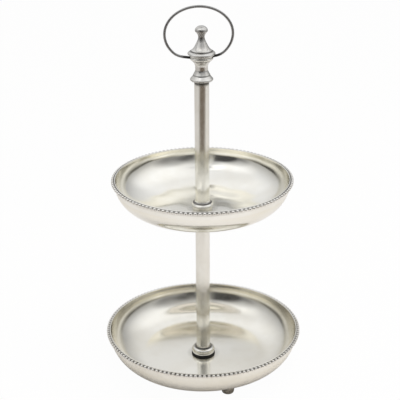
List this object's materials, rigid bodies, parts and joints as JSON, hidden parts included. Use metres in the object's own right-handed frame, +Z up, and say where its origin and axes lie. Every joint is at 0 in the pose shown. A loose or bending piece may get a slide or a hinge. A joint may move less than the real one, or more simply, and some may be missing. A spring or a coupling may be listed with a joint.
{
  "type": "two-tier serving stand",
  "caption": "Serving stand with two shallow round bowls with beaded rims on a slim tubular stem, a turned finial with a pivoting oval wire ring, and small bun feet.",
  "frame": {"origin": "on the table under the stem, at the middle of the base", "axes": "+Z up along the stem; the ring handle pivots about an axis 3.5 degrees off X in the XZ plane and stands in that plane at rest; -Y is the side seen in the picture"},
  "size_m": [0.2004, 0.2004, 0.3805],
  "materials": {
    "silver_plate": "polished silver plate, lightly aged and warm",
    "worn_plate": "worn, tarnished silver plate",
    "dull_wire": "drawn wire, plated and dulled with age",
    "zinc_steel": "zinc-plated steel",
    "black_rubber": "matt black rubber"
  },
  "bodies": {
    "stand": {"foot_1": "worn_plate", "foot_2": "worn_plate", "foot_3": "worn_plate", "lower_bowl": "silver_plate", "lower_bead_border": "silver_plate", "base_washer": "zinc_steel", "base_nut": "zinc_steel", "tie_rod": "zinc_steel", "lower_pad": "black_rubber", "lower_collar": "silver_plate", "lower_ferrule": "silver_plate", "lower_tube": "silver_plate", "seat_collar": "silver_plate", "upper_bowl": "silver_plate", "upper_bead_border": "silver_plate", "upper_pad": "black_rubber", "upper_collar": "silver_plate", "upper_ferrule": "silver_plate", "upper_tube": "silver_plate", "baluster": "silver_plate", "pivot_collar": "silver_plate", "finial": "silver_plate"},
    "handle": {"ring_handle": "dull_wire"}
  },
  "joints": [
    {"name": "ring_pivot", "type": "hinge", "parent": "stand", "child": "handle", "pos_m": [0, 0, 0.33105], "axis": [0.9981, 0, 0.061], "range_deg": [-168, 168]}
  ]
}
